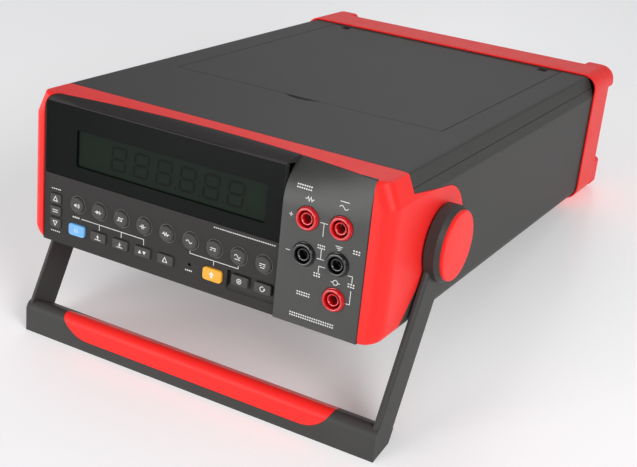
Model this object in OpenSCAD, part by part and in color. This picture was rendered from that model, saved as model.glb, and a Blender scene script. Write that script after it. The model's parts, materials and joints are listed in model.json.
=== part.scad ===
// Bench multimeter standing on its swing handle.
// Every piece is drawn level, in case coordinates: X to the right, Y to the back from the front face,
// Z up from the case base. stance() then leans the whole instrument back onto the handle and the rear feet.

/* [Case] */
// Width over the side walls
case_w = 224; // [218:1:230]
// Height from the base to the top
case_h = 86.5; // [86:0.5:88]
// Back edge of the front bezel
bezel_d = 23.5; // [22:0.5:26]
// Front edge of the rear frame
frame_y = 303.5; // [300:0.5:306]
// Back edge of the rear frame
rear_y = 335; // [333:1:338]
// Wall thickness of the two covers
wall = 2.6; // [2.4:0.1:3]
// Radius of the long edges
edge_r = 8.5; // [8:0.5:9]
// Height of the joint between the covers
split_z = 79; // [78:0.5:80]

/* [Handle] */
// Distance of the pivot behind the front face
pivot_y = 60; // [58:0.5:62]
// Height of the pivot above the base
pivot_z = 41.7; // [40:0.1:43]
// Angle of the arms ahead of straight down, at rest
arm_angle = 27.4; // [26:0.1:30]
// Width of an arm
arm_w = 20.6; // [20:0.2:22]
// Radius of the hub
hub_r = 21; // [20:0.5:22]
// Radius of the pivot pin
pin_r = 6; // [5:0.5:7]
// Depth of the sole of the bar below the case base, at rest
bar_drop = 62.9; // [61:0.1:64]

/* [Front] */
// Pitch of the test sockets
socket_pitch = 19.05; // [19:0.05:19.05]
// Pitch of the key columns
key_pitch = 15.2; // [15:0.1:15.3]
// Diameter of a function key
key_d = 9.4; // [9:0.2:9.8]
// Travel of a key
key_travel = 1; // [0.6:0.1:1]

/* [Lid] */
// Front edge of the storage lid
lid_front = 102; // [100:1:110]
// Half width of the storage lid
lid_half = 88; // [84:1:90]

/* [Hidden] */
$fn = 64;
function_keys = 9;

half_w = case_w / 2;
fit = 0.25;                         // plain gap between pieces that don't touch
face_y = 1;                         // face of the front panel
panel_back = 4;                     // back of the front panel
panel_half = 100;                   // right edge of the front panels
panel_left = -103.3;                // left edge of the front panel
brow_y = 12.2;                      // how far the panels' top edge runs back in the middle
brow_r = 505;                       // radius of that edge, seen from above
wing_in = 1;                        // how deep the wings are let into the case
wing_r = 29.7;                      // round end of a side wing
wing_foot = 15.5;                   // where its lower edge leaves the case base
arm_in = half_w + 1.2;              // inner face of an arm
arm_out = arm_in + 3.2;             // outer face of an arm
hub_out = arm_in + 8.4;             // outer face of the hub ring
cap_r = 19.2;                       // red disc in the hub
arm_end = 100;                      // pivot to the top of the bar
foot_drop = 2.2;                    // floor below the base line under the back edge of the rear frame
frame_grow = 1.5;                   // how far the rear frame stands off the case
lug_d = 11;                         // how far the corner lugs reach back

// Stance: the floor runs under the front lower edge of the bar and just clear of the rear frame.
tilt = atan((bar_drop - foot_drop) / rear_y);
lift = bar_drop * cos(tilt);
reach_back = (rear_y + lug_d) * cos(tilt) + (case_h + frame_grow) * sin(tilt);
bar_front = pivot_y - sin(arm_angle) * (arm_end + 4.3) - cos(arm_angle) * (arm_w / 2 - 0.4);
reach_front = bar_front * cos(tilt) - (bar_drop - bar_front * tan(tilt)) * sin(tilt);
centre_y = (reach_back + reach_front) / 2;

red = [0.86, 0.16, 0.15];
dark = [0.25, 0.25, 0.25];
black = [0.06, 0.06, 0.06];
grey = [0.36, 0.35, 0.34];
metal = [0.78, 0.77, 0.74];
board_green = [0.08, 0.33, 0.20];

module stance() translate([0, -centre_y, lift]) rotate([-tilt, 0, 0]) children();

// A 2D outline in X and Z, pulled along Y.
module y_prism(y0, y1) translate([0, y1, 0]) rotate([90, 0, 0]) linear_extrude(y1 - y0) children();

// A 2D outline in Y and Z, pulled along X.
module x_prism(x0, x1) translate([x0, 0, 0]) rotate([90, 0, 90]) linear_extrude(x1 - x0) children();

// A box from one corner to the other.
module block(a, b) translate(a) cube(b - a);

// Both sides of the instrument.
module both_sides() { children(); mirror([1, 0, 0]) children(); }

// A cylinder along Y.
module y_rod(x, z, r, y0, y1) translate([x, y0, z]) rotate([-90, 0, 0]) cylinder(r = r, h = y1 - y0);

// A cylinder along X.
module x_rod(y, z, r, x0, x1) translate([x0, y, z]) rotate([0, 90, 0]) cylinder(r = r, h = x1 - x0);

// A rectangle with round corners, from its lower left corner.
module rounded(w, h, r) {
    translate([r, 0]) square([w - 2 * r, h]);
    translate([0, r]) square([w, h - 2 * r]);
    for (x = [r, w - r], y = [r, h - r]) translate([x, y]) circle(r);
}

// Section of the case, grown by g. Its upper edges are planed off steeply.
slope_top = [106.2, case_h];
slope_foot = [half_w, 73.5];
slope_out = [0.913, 0.407];
module section(g = 0, r = edge_r) difference() {
    translate([-half_w - g, -g]) rounded(case_w + 2 * g, case_h + 2 * g, r + g);
    for (m = [0, 1]) mirror([m, 0]) polygon([
        slope_top + g * slope_out + [-0.446, 1], slope_foot + g * slope_out + [0.446, -1], [140, 70], [140, 100],
        slope_top + g * slope_out + [0, 10]]);
}

// ---- covers ----

module wing_outline() difference() {
    union() {
        translate([pivot_y, pivot_z]) circle(wing_r);
        polygon([[bezel_d - 2, 0], [bezel_d - 2, split_z - 1.7], [pivot_y, pivot_z + wing_r],
                 [pivot_y, pivot_z], [wing_foot, 0]]);
    }
    polygon([[wing_foot, -1], [wing_foot, 0], [pivot_y - 9, pivot_z - 9], [pivot_y, pivot_z - 9],
             [pivot_y + 26, 8], [pivot_y + 26, -1]]);
}

// Opening under the lid, with a crescent in front of its edge for a fingertip.
module lid_opening() {
    block([-lid_half - fit, lid_front - fit, case_h - wall - 1], [lid_half + fit, hinge_y + 4.4, case_h + 1]);
    translate([0, lid_front + 16, case_h - wall - 1]) cylinder(r = 20, h = wall + 2, $fn = 128);
}

hinge_y = frame_y - 6;              // lid hinge, just ahead of the rear frame
hinge_z = case_h - 3.2;
hinge_r = 1.5;
lid_t = 2.2;

module cover_shell() difference() {
    y_prism(bezel_d, rear_y - 13) difference() {
        section();
        section(-wall);
    }
    both_sides() x_prism(half_w - wing_in, half_w + 1) wing_outline();
}

module top_cover() stance() color(dark) difference() {
    intersection() {
        cover_shell();
        block([-half_w - 1, 0, split_z], [half_w + 1, rear_y, case_h + 1]);
    }
    lid_opening();
}

screw_at = [for (x = [-half_w + 22, half_w - 22], y = [100, 285]) [x, y]];

module bottom_cover() stance() color(dark) difference() {
    intersection() {
        cover_shell();
        block([-half_w - 1, 0, -1], [half_w + 1, rear_y, split_z]);
    }
    both_sides() x_rod(pivot_y, pivot_z, pin_r, half_w - 8, half_w + 2);
    for (p = screw_at) translate([p[0], p[1], -1]) cylinder(d = 4.4, h = wall + 2);
}

module plan_outline(r) {
    translate([-half_w, r]) square([case_w, 60]);
    translate([-half_w + r, 0]) square([case_w - 2 * r, 60]);
    for (x = [-half_w + r, half_w - r]) translate([x, r]) circle(r);
}

module profile_outline(top_r, base_r) {
    translate([0, base_r]) square([60, case_h - top_r - base_r]);
    translate([top_r, base_r]) square([60 - top_r, case_h - base_r]);
    translate([base_r, 0]) square([60 - base_r, case_h - top_r]);
    translate([top_r, case_h - top_r]) circle(top_r);
    translate([base_r, base_r]) circle(base_r);
}

module front_bezel() stance() color(red) difference() {
    union() {
        intersection() {
            y_prism(0, bezel_d) section();
            linear_extrude(case_h) plan_outline(8);
            x_prism(-half_w, half_w) profile_outline(4.2, 2.5);
        }
        both_sides() intersection() {
            x_prism(half_w - wing_in, half_w + 1) wing_outline();
            y_prism(bezel_d - 1, bezel_d + 80) section();
        }
    }
    y_prism(panel_back, bezel_d + 1) translate([-half_w + 4.5, 3.2]) rounded(case_w - 9, case_h - 6.4, 5);
    y_prism(-1, panel_back) panel_outline(0.1);
    brow(0, panel_left, panel_half, 4);
    both_sides() x_rod(pivot_y, pivot_z, pin_r, half_w - 8, half_w + 2);
}

// Outline of both front panels: a round corner at the top left.
module panel_outline(g) difference() {
    translate([panel_left - g, -1]) square([panel_half - panel_left + 2 * g, case_h + 1 + g]);
    difference() {
        translate([panel_left - 5, case_h - 9]) square([14, 20]);
        translate([panel_left + 9, case_h - 9]) circle(9 + g);
    }
}

// The panels' top edge runs back over the bezel in a shallow arc.
module brow(g, x0, x1, depth) intersection() {
    translate([0, brow_y - brow_r, case_h - depth]) cylinder(r = brow_r - g, h = depth + 1, $fn = 720);
    block([x0, panel_back - 0.5, case_h - depth], [x1, brow_y + 1, case_h + 1]);
}

// ---- front panel, window and display ----

window = [-102.2, 40.5, 50.6, 82];     // left, bottom, right, top
glass = [-81, 48.4, 41, 69.2];      // the display's glass
terminal_x = 51;                    // left edge of the terminal panel
socket_x = [66, 66 + socket_pitch];
socket_z = [20.4, 20.4 + socket_pitch, 20.4 + 2 * socket_pitch];
column_0 = -78.8;                   // first key column
key_row = 26.6;
small_row = 11.6;
shift_x = column_0 + 6 * key_pitch;
pit = [21, 6.2, 50, 17.4];          // recess that holds the set and reset keys
range_x = -94.3;

module round_holes(extra) for (i = [0:function_keys - 1])
    y_rod(column_0 + i * key_pitch, key_row, key_d / 2 + extra, -2, 12);

// Name, middle, size, corner radius, Y of the face and colour of each square key.
square_keys = [
    ["key_range_up",   [range_x, 26.4],  [7.6, 5.8], 1, face_y - 0.9, grey],
    ["key_auto_range", [range_x, 19.2],  [7.6, 5.8], 1, face_y - 0.9, grey],
    ["key_range_down", [range_x, 12],    [7.6, 5.8], 1, face_y - 0.9, grey],
    ["key_hold",       [column_0, small_row],                 [11, 7.6], 1.6, face_y - 1.4, [0.55, 0.75, 0.92]],
    ["key_recall",     [column_0 + key_pitch, small_row],     [10.4, 5.8], 1, face_y - 1.2, grey],
    ["key_store",      [column_0 + 2 * key_pitch, small_row], [10.4, 5.8], 1, face_y - 1.2, grey],
    ["key_max_min",    [column_0 + 3 * key_pitch, small_row], [10.4, 5.8], 1, face_y - 1.2, grey],
    ["key_relative",   [column_0 + 4 * key_pitch, small_row], [10.4, 5.8], 1, face_y - 1.2, grey],
    ["key_shift",      [shift_x, small_row + 0.4],            [12, 8.2], 1.8, face_y - 1.4, [0.95, 0.62, 0.12]],
    ["key_set",        [28.6, 12.6],                          [10.4, 6], 1, face_y + 0.2, grey],
    ["key_reset",      [42.8, 12.6],                          [10.4, 6], 1, face_y + 0.2, grey]];

module key_outline(k, g) translate(k[1] - k[2] / 2 - [g, g]) rounded(k[2][0] + 2 * g, k[2][1] + 2 * g, k[3]);

module terminal_outline() translate([terminal_x, -10])
    rounded(panel_half - terminal_x + 20, case_h + 10, 8.5);

module front_panel() stance() color(dark) difference() {
    intersection() {
        union() {
            y_prism(face_y, panel_back) panel_outline(0);
            brow(0.1, -84, terminal_x - 0.2, 3.1);
        }
        translate([0, face_y, 0]) x_prism(panel_left, panel_half) profile_outline(4, 1.5);
    }
    block([window[0], 0, window[1]], [window[2], face_y + 1.6, window[3]]);
    block([glass[0] - 3, 0, glass[1] - 3], [glass[2] + 3, panel_back + 1, glass[3] + 3]);
    round_holes(fit);
    y_prism(-1, panel_back + 1) for (k = square_keys) key_outline(k, fit);
    block([pit[0], 0, pit[1]], [pit[2], face_y + 1.4, pit[3]]);
    y_rod(column_0 + 5 * key_pitch, 13, 0.8, 0, 12);
    y_prism(-1, panel_back + 1) terminal_outline();
}

module display_window() stance() color([0.03, 0.03, 0.035])
    block([window[0] + 0.2, face_y + 0.1, window[1] + 0.2], [window[2] - 0.2, face_y + 1.5, window[3] - 0.2]);

module lcd_module() stance() color([0.12, 0.17, 0.13]) {
    block([glass[0] - 2.5, face_y + 1.6, glass[1] - 2.5], [glass[2] + 2.5, face_y + 3.4, glass[3] + 2.5]);
    block([glass[0] - 6, face_y + 3.4, glass[1] - 5], [glass[2] + 6, face_y + 10, glass[3] + 5]);
}

// The terminal panel is upright, then leans back gently over its top quarter.
lean_from = 62;
lean_r = 70;
terminal_y = -0.6;                  // face of the terminal panel
module terminal_panel() stance() color([0.29, 0.29, 0.29]) difference() {
    intersection() {
        union() {
            y_prism(terminal_y, panel_back) terminal_outline();
            brow(0.1, terminal_x + 3, 88, 3.1);
        }
        x_prism(terminal_x, panel_half) intersection() {
            translate([terminal_y, 0]) profile_outline(2, 1.5);
            union() {
                translate([terminal_y, 0]) square([20, lean_from]);
                translate([terminal_y + lean_r, lean_from]) circle(lean_r, $fn = 360);
            }
        }
    }
    for (x = socket_x, z = socket_z) if (x > socket_x[0] || z > socket_z[0]) y_rod(x, z, 6.4, -2, 12);
}

// ---- test sockets ----

module socket_body(x, z, c) stance() color(c) difference() {
    union() {
        y_rod(x, z, 6.2, -2.4, panel_back);
        y_rod(x, z, 8, panel_back, panel_back + 2.5);
        y_rod(x, z, 5.2, panel_back, 22);
    }
    difference() {
        y_rod(x, z, 4.6, -3, 15);
        y_rod(x, z, 3.1, -1.4, 16);
    }
    y_rod(x, z, 2.5, -3, 23);
}

module socket_sense_high() socket_body(socket_x[0], socket_z[2], red);
module socket_sense_low() socket_body(socket_x[0], socket_z[1], black);
module socket_input_high() socket_body(socket_x[1], socket_z[2], red);
module socket_common() socket_body(socket_x[1], socket_z[1], black);
module socket_current() socket_body(socket_x[1], socket_z[0], red);

// Metal sleeves for 4 mm plugs, pressed into the five socket bodies.
sleeve_front = -0.6;
sleeve_l = 21;
module socket_sleeves() stance() color(metal)
    for (p = [[0, 1], [0, 2], [1, 0], [1, 1], [1, 2]]) difference() {
        y_rod(socket_x[p[0]], socket_z[p[1]], 2.5, sleeve_front, sleeve_front + sleeve_l + 3);
        y_rod(socket_x[p[0]], socket_z[p[1]], 2.03, sleeve_front - 1, sleeve_front + sleeve_l);
    }

// ---- keys ----

module round_key(i) stance() color(grey) {
    x = column_0 + i * key_pitch;
    y_rod(x, key_row, key_d / 2, face_y - 1.2, panel_back + 1.2);
    translate([x, face_y - 1.2, key_row]) rotate([90, 0, 0]) cylinder(r1 = key_d / 2, r2 = key_d / 2 - 0.8, h = 0.6);
    y_rod(x, key_row, key_d / 2 + 1.2, panel_back + fit, panel_back + 1.2);
}

module square_key(k) stance() color(k[5]) {
    y_prism(k[4], panel_back + 1.2) key_outline(k, 0);
    y_prism(panel_back + fit, panel_back + 1.2) key_outline(k, 0.5);
}

mat_y = panel_back + 1.2 + key_travel + 0.2;
module keypad_mat() stance() color([0.55, 0.55, 0.57])
    difference() {
        block([-99, mat_y, 5], [49, mat_y + 1.2, 33]);
        for (i = [0:4]) y_rod(-88 + i * 33, 19.2, 1.5, mat_y - 1, mat_y + 3);
    }

// ---- inside ----

module display_board() stance() color(board_green) difference() {
    block([-99, 13, 5], [49, 14.6, 80]);
    for (x = [-95, 45], z = [9, 76]) y_rod(x, z, 1.6, 12, 16);
}

board_z = 11;
post_at = [[-92, 60], [92, 60], [-92, 200], [92, 200], [70, 284], [0, 284]];
module main_board() stance() color(board_green) difference() {
    block([-98, 30, board_z], [98, 294, board_z + 1.6]);
    for (p = post_at) translate([p[0], p[1], 0]) cylinder(r = 1.7, h = 20);
}

module board_posts() stance() color(metal) for (p = post_at) translate([p[0], p[1], wall]) {
    cylinder(r = 3, h = board_z - wall);
    cylinder(r = 1.6, h = board_z - wall + 1.6);
    translate([0, 0, board_z - wall + 1.6]) cylinder(r = 2.8, h = 1.6);
}

module transformer() stance() color([0.45, 0.42, 0.38]) {
    block([-92, 234, board_z + 1.6], [-38, 286, board_z + 8]);
    block([-88, 228, board_z + 8], [-42, 292, board_z + 30]);
    block([-92, 234, board_z + 30], [-38, 286, board_z + 36]);
}

module input_fuses() stance() color([0.8, 0.8, 0.78]) for (x = [66, 84]) {
    y_rod(x, board_z + 7.4, 3.15, 66, 98);
    for (y = [68, 90]) block([x - 4, y, board_z + 1.6], [x + 4, y + 6, board_z + 6]);
}

module current_shunt() stance() color([0.72, 0.45, 0.28]) translate([78, 46, board_z + 1.6]) {
    rotate([90, 0, 90]) rotate_extrude(angle = 180) translate([9, 0]) circle(1.2, $fn = 24);
}

// ---- storage tray and lid ----

tray_z = 54;
module storage_tray() stance() color([0.2, 0.2, 0.2]) difference() {
    union() {
        block([-lid_half + 2, lid_front + 5, tray_z], [lid_half - 2, hinge_y - 6, case_h - wall]);
        block([-lid_half - 3, lid_front + 5, case_h - wall - 2], [lid_half + 3, hinge_y - 6, case_h - wall]);
    }
    block([-lid_half + 4, lid_front + 7, tray_z + 2], [lid_half - 4, hinge_y - 8, case_h]);
}

knuckle_x = [-60, 60];
bracket_x = [-78, 75];
module storage_lid() stance() color(dark) difference() {
    union() {
        block([-lid_half, lid_front, case_h - lid_t], [lid_half, hinge_y + 2.4, case_h]);
        for (x = knuckle_x) {
            x_rod(hinge_y, hinge_z, 2.8, x - 12, x + 12);
            block([x - 12, hinge_y - 2.8, hinge_z], [x + 12, hinge_y + 2.4, case_h - 1]);
        }
    }
    x_rod(hinge_y, hinge_z, hinge_r + 0.05, -80, 80);
    for (x = bracket_x) block([x - 1.5, hinge_y - 5, case_h - lid_t - 1], [x + 4.5, hinge_y + 3, case_h + 1]);
}

module lid_hinge_pin() stance() color(metal) {
    x_rod(hinge_y, hinge_z, hinge_r, bracket_x[0], bracket_x[1] + 3);
    for (x = bracket_x) difference() {
        block([x, hinge_y - 3, hinge_z - 3], [x + 3, hinge_y + 9, case_h - wall]);
        x_rod(hinge_y, hinge_z, hinge_r, -90, 90);
    }
}

// ---- rear ----

rear_panel_y = rear_y - 13;
module lug_block(z0, z1) intersection() {
    y_prism(rear_y - 2, rear_y + lug_d) section(frame_grow);
    block([half_w - 20, rear_y - 2, z0], [half_w + 5, rear_y + lug_d, z1]);
}

module rear_frame() stance() color(red) {
    difference() {
        y_prism(frame_y, rear_y) section(frame_grow);
        y_prism(frame_y - 1, rear_panel_y + 3) section();
        y_prism(rear_panel_y, rear_y + 1) section(-6);
    }
    both_sides() {
        lug_block(case_h - 12, case_h + 2);
        lug_block(2.5, 22);
    }
}

inlet = [-92, 28];                  // middle of the mains inlet, left as seen from the front
rocker = [-92, 62];
module rocker_seat() {
    x_rod(rear_panel_y - 1, rocker[1], 1.5, rocker[0] - 9, rocker[0] + 9);
    for (x = [rocker[0] - 9, rocker[0] + 7])
        block([x, rear_panel_y - 5, rocker[1] - 4], [x + 2, rear_panel_y, rocker[1] + 4]);
}

module rear_panel() stance() color([0.16, 0.16, 0.16]) {
    rocker_seat();
    rear_plate();
}

module rear_plate() difference() {
    y_prism(rear_panel_y, rear_panel_y + 3) section(-0.1);
    block([inlet[0] - 14, rear_panel_y - 1, inlet[1] - 16], [inlet[0] + 14, rear_panel_y + 4, inlet[1] + 16]);
    block([rocker[0] - 7, rear_panel_y - 1, rocker[1] - 10], [rocker[0] + 7, rear_panel_y + 4, rocker[1] + 10]);
    block([30, rear_panel_y - 1, 24], [42, rear_panel_y + 4, 35]);
    block([54, rear_panel_y - 1, 24], [85, rear_panel_y + 4, 36.5]);
}

module mains_inlet() stance() color(black) difference() {
    union() {
        block([inlet[0] - 13.8, rear_panel_y - 22, inlet[1] - 15.8], [inlet[0] + 13.8, rear_panel_y + 3, inlet[1] + 15.8]);
        block([inlet[0] - 13.8, rear_panel_y + 3, inlet[1] - 18], [inlet[0] + 13.8, rear_panel_y + 5, inlet[1] + 18]);
    }
    block([inlet[0] - 12, rear_panel_y - 16, inlet[1] - 8], [inlet[0] + 12, rear_panel_y + 6, inlet[1] + 8]);
    block([inlet[0] - 11, rear_panel_y - 18, inlet[1] + 9.5], [inlet[0] + 11, rear_panel_y + 6, inlet[1] + 15]);
    for (x = [-7, 0, 7]) block([inlet[0] + x - 1, rear_panel_y - 23, inlet[1] - 2], [inlet[0] + x + 1, rear_panel_y - 14, inlet[1] + 2]);
}

module fuse_drawer() stance() color([0.1, 0.1, 0.1])
    block([inlet[0] - 10.8, rear_panel_y - 17, inlet[1] + 9.8], [inlet[0] + 10.8, rear_panel_y + 6, inlet[1] + 14.8]);

module power_rocker() stance() color([0.7, 0.1, 0.1]) difference() {
    x_prism(rocker[0] - 6.2, rocker[0] + 6.2) difference() {
        translate([rear_panel_y - 4, rocker[1]]) circle(9.4);
        polygon([[rear_panel_y - 20, rocker[1] - 12], [rear_panel_y - 4, rocker[1] - 12],
                 [rear_panel_y - 4, rocker[1] + 12], [rear_panel_y - 20, rocker[1] + 12]]);
    }
    x_rod(rear_panel_y - 1, rocker[1], 1.55, rocker[0] - 8, rocker[0] + 8);
}

module interface_ports() stance() color(metal) {
    difference() {
        block([30.2, rear_panel_y - 12, 24.2], [41.8, rear_panel_y + 3.6, 34.8]);
        block([31.6, rear_panel_y - 8, 25.6], [40.4, rear_panel_y + 4, 33.4]);
    }
    difference() {
        block([54.2, rear_panel_y - 10, 24.2], [84.8, rear_panel_y + 5, 36.3]);
        block([60.5, rear_panel_y - 5, 26.2], [78.5, rear_panel_y + 6, 34.3]);
    }
}

// ---- handle ----

// The handle's own frame has its origin on the pivot, the arms hanging straight down and the front at -Y.
module in_handle() translate([0, pivot_y, pivot_z]) rotate([-arm_angle, 0, 0]) children();

// The bar's front is upright at rest, its top is square to the arms, and the floor cuts its sole.
bar_lip = [-arm_w / 2 + 0.4, -arm_end - 4.3];
bar_low = -arm_end - 28;
module bar_outline() polygon([
    [arm_w / 2, -arm_end], [arm_w / 2, bar_low], [bar_lip[0] + (bar_lip[1] - bar_low) * tan(arm_angle), bar_low],
    bar_lip, [-arm_w / 2 + 1.8, -arm_end]]);

// The grip is a red skin over the top and the front of the bar.
grip_t = 2;
grip_down = 15;
down = [sin(arm_angle), -cos(arm_angle)];
inward = [cos(arm_angle), sin(arm_angle)];
module grip_outline() polygon([
    [4, -arm_end], [-arm_w / 2 + 1.8, -arm_end], bar_lip, bar_lip + grip_down * down,
    bar_lip + grip_down * down + grip_t * inward, bar_lip + grip_t * inward + [0, 0.6],
    [-arm_w / 2 + 4.4, -arm_end - grip_t], [4, -arm_end - grip_t]]);

grip_half = 91;
module grip_solid(g) intersection() {
    x_prism(-grip_half - g, grip_half + g) grip_outline();
    rotate([arm_angle, 0, 0]) translate([0, -pivot_y, -pivot_z]) y_prism(-20, 40)
        translate([-grip_half - g, -bar_drop + 6.7 - g]) rounded(2 * (grip_half + g), 60, 20 + g);
}

module above_floor() intersection() {
    children();
    translate([-200, -250, 0]) cube([400, 500, 300]);
}

module handle() above_floor() stance() in_handle() color(dark) difference() {
    union() {
        both_sides() {
            x_prism(arm_in, arm_out) {
                circle(hub_r);
                translate([-arm_w / 2, -arm_end]) square([arm_w, arm_end]);
            }
            x_rod(0, 0, hub_r, arm_in, hub_out);
        }
        x_prism(-arm_out, arm_out) bar_outline();
    }
    both_sides() {
        x_rod(0, 0, pin_r + 0.05, arm_in - 1, hub_out + 1);
        x_rod(0, 0, cap_r + 0.1, hub_out - 2.2, hub_out + 1);
        x_rod(0, 0, 17, arm_in - 1, arm_in + 1.4);
    }
    grip_solid(0);
}

module handle_grip() stance() in_handle() color(red) grip_solid(0);

module hub_caps() stance() color(red) both_sides() {
    x_rod(pivot_y, pivot_z, cap_r, hub_out - 2.1, hub_out + 0.6);
    translate([hub_out + 0.6, pivot_y, pivot_z]) rotate([0, 90, 0]) cylinder(r1 = cap_r, r2 = cap_r - 1.4, h = 1.4);
}

module pivot_pins() stance() color(metal) both_sides() {
    x_rod(pivot_y, pivot_z, pin_r, half_w - wall - 3, arm_in + 3.6);
    x_rod(pivot_y, pivot_z, 9, half_w - wall - 3, half_w - wall);
}

module detent_plates() stance() color(metal) both_sides() difference() {
    x_rod(pivot_y, pivot_z, 15.5, half_w, arm_in + 1);
    x_rod(pivot_y, pivot_z, pin_r, half_w, arm_in + 2);
}

// ---- feet and screws ----

module feet() above_floor() stance() color([0.1, 0.1, 0.1]) both_sides() {
    block([60, rear_y - 22, -8], [88, rear_y - 6, -frame_grow]);
    translate([78, 48, -3]) cylinder(r = 7, h = 3);
}

module case_screws() stance() color(metal) for (p = screw_at) translate([p[0], p[1], 0]) {
    translate([0, 0, -1.6]) cylinder(r = 3.6, h = 1.6);
    translate([0, 0, -0.1]) cylinder(r = 2, h = 8);
}

top_cover();
bottom_cover();
front_bezel();
front_panel();
display_window();
lcd_module();
terminal_panel();
socket_sense_high();
socket_sense_low();
socket_input_high();
socket_common();
socket_current();
socket_sleeves();
for (i = [0:function_keys - 1])
    round_key(i);
for (k = square_keys) square_key(k);
keypad_mat();
display_board();
main_board();
board_posts();
transformer();
input_fuses();
current_shunt();
storage_tray();
storage_lid();
lid_hinge_pin();
rear_frame();
rear_panel();
mains_inlet();
fuse_drawer();
power_rocker();
interface_ports();
handle();
handle_grip();
hub_caps();
pivot_pins();
detent_plates();
feet();
case_screws();
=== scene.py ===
import json
import math
import bmesh
import bpy
from mathutils import Matrix, Vector


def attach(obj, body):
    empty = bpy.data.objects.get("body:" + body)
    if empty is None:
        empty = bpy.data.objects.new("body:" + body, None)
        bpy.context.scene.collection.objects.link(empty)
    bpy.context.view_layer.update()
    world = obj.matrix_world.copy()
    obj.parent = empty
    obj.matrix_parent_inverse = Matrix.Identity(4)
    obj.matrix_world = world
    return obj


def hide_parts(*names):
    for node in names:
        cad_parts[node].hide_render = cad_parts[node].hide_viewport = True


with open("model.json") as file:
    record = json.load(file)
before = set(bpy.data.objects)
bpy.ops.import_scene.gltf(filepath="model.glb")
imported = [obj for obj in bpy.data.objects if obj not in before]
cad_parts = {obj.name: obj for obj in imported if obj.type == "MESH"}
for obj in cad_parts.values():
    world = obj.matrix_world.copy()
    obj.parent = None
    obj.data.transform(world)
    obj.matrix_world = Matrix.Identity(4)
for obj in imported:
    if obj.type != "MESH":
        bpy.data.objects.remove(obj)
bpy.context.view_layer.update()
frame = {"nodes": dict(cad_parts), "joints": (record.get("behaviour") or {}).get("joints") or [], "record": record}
print("frame loaded,", len(frame["nodes"]), "nodes")

# Lengths are millimetres in case coordinates, as in the part: X right, Y back from the front face,
# Z up from the case base. One matrix then leans the pieces back into the shared frame.
mm = 0.001
case = {"halfWidth": 112, "height": 86.5, "edgeRadius": 8.5, "wall": 2.6, "split": 79,
        "bezelBack": 23.5, "frameFront": 303.5, "rear": 335, "pivot": (60, 41.7), "armAngle": 27.4,
        "lidFront": 102, "lidHalf": 88, "hinge": (297.5, 83.3), "panelFace": 1, "panelBack": 4,
        "slopeTop": (106.2, 86.5), "slopeFoot": (112, 73.5), "slopeBend": 3}

joints = {joint["name"]: joint for joint in frame["joints"]}
pressWay = joints["press_hold"]["axis"]
lean = math.atan2(-pressWay[2], pressWay[1])
pivotPlace = Matrix.Translation(joints["handle_swing"]["pos_m"])
pivotInCase = Matrix.Translation((0, -case["pivot"][0] * mm, -case["pivot"][1] * mm))
stance = pivotPlace @ Matrix.Rotation(-lean, 4, "X") @ pivotInCase
handlePlace = pivotPlace @ Matrix.Rotation(-lean - math.radians(case["armAngle"]), 4, "X")


# ---- camera, light and floor ----

cameraView = {"eye": (328.0, -608.9, 413.4), "turn": (59.638, -0.432, 30.152), "lens": 68.35}
studio = {
    "key": ((1.15, -0.6, 0.8), (0.0, -0.05, 0.06), 0.8, 12),
    "front": ((-0.55, -1.3, 0.34), (0.0, -0.12, 0.04), 0.8, 7.5),
    "left": ((-1.3, -0.5, 0.35), (0.0, -0.1, 0.06), 0.7, 4),
    "top": ((-0.2, 0.35, 1.7), (0.0, 0.05, 0.1), 1.5, 3),
    "back": ((-0.5, 1.5, 1.0), (0.0, 0.15, 0.1), 1.0, 3)}


def addCamera(values):
    lens = bpy.data.cameras.new("camera")
    lens.lens = values["lens"]
    lens.sensor_width = 36
    lens.clip_start = 0.02
    camera = bpy.data.objects.new("camera", lens)
    camera.location = Vector(values["eye"]) * mm
    camera.rotation_euler = [math.radians(a) for a in values["turn"]]
    bpy.context.scene.collection.objects.link(camera)
    bpy.context.scene.camera = camera


def addLights(lights):
    for name, (place, target, size, power) in lights.items():
        lamp = bpy.data.lights.new(name + "Light", "AREA")
        lamp.shape = "DISK"
        lamp.size = size
        lamp.energy = power
        light = bpy.data.objects.new(name + "Light", lamp)
        light.location = place
        aim = Vector(target) - Vector(place)
        light.rotation_euler = aim.to_track_quat("-Z", "Y").to_euler()
        bpy.context.scene.collection.objects.link(light)


addCamera(cameraView)
addLights(studio)
bpy.context.scene.view_settings.view_transform = "Standard"
print("camera and lights placed")


# ---- shader maths ----

class Wire:
    # one output of a shader node that adds, multiplies and compares like a number
    def __init__(self, finish, socket):
        self.finish = finish
        self.socket = socket

    def maths(self, operation, first, second=0.0):
        return self.finish.node("ShaderNodeMath", {"operation": operation}, {0: first, 1: second})

    def __add__(self, other):
        return self.maths("ADD", self, other)

    def __radd__(self, other):
        return self.maths("ADD", other, self)

    def __mul__(self, other):
        return self.maths("MULTIPLY", self, other)

    def __rmul__(self, other):
        return self.maths("MULTIPLY", other, self)


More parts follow.
